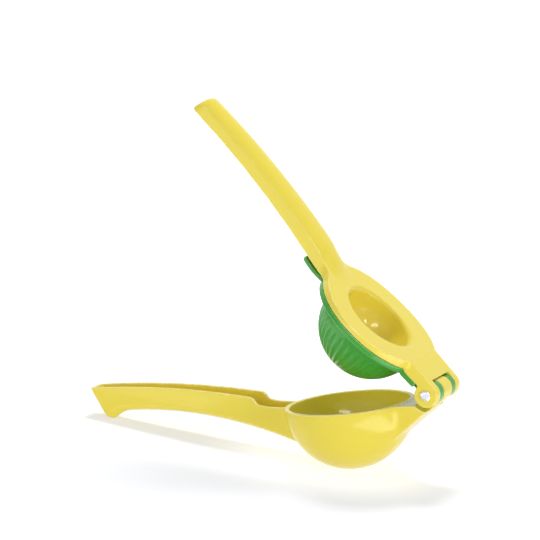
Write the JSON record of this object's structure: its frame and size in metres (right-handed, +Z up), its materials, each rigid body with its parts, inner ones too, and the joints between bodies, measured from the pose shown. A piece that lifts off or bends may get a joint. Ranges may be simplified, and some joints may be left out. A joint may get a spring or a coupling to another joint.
{
  "type": "hinged lemon squeezer",
  "caption": "Long-handled hinged citrus squeezer: an orange bowl on a trough handle, a fluted lime cup and a domed presser lever, riveted on one clevis hinge.",
  "frame": {"origin": "on the surface that the tool stands on, under the middle of its bounding box at rest; the tool is symmetric about Y = 0", "axes": "+X from the free ends of the handles towards the hinge, +Y along the hinge axis, +Z up; the lower lever is tilted about Y by 12.3 degrees so that it stands on the flat under its bowl and on the foot of its handle"},
  "size_m": [0.222, 0.077, 0.1993],
  "materials": {
    "yellow_enamel": "satin enamel on cast aluminium",
    "green_enamel": "satin enamel on cast aluminium",
    "rivet_metal": "plain, lightly burnished"
  },
  "bodies": {
    "lower": {"lower_lever": "yellow_enamel"},
    "cup": {"lime_cup": "green_enamel"},
    "upper": {"upper_lever": "yellow_enamel", "hinge_pin": "rivet_metal"}
  },
  "joints": [
    {"name": "cup_hinge", "type": "hinge", "parent": "lower", "child": "cup", "pos_m": [0.10396, 0, 0.0548], "axis": [0, 1, 0], "range_deg": [-49.5, 71.4]},
    {"name": "upper_hinge", "type": "hinge", "parent": "cup", "child": "upper", "pos_m": [0.10396, 0, 0.0548], "axis": [0, 1, 0], "range_deg": [0, 60]}
  ]
}
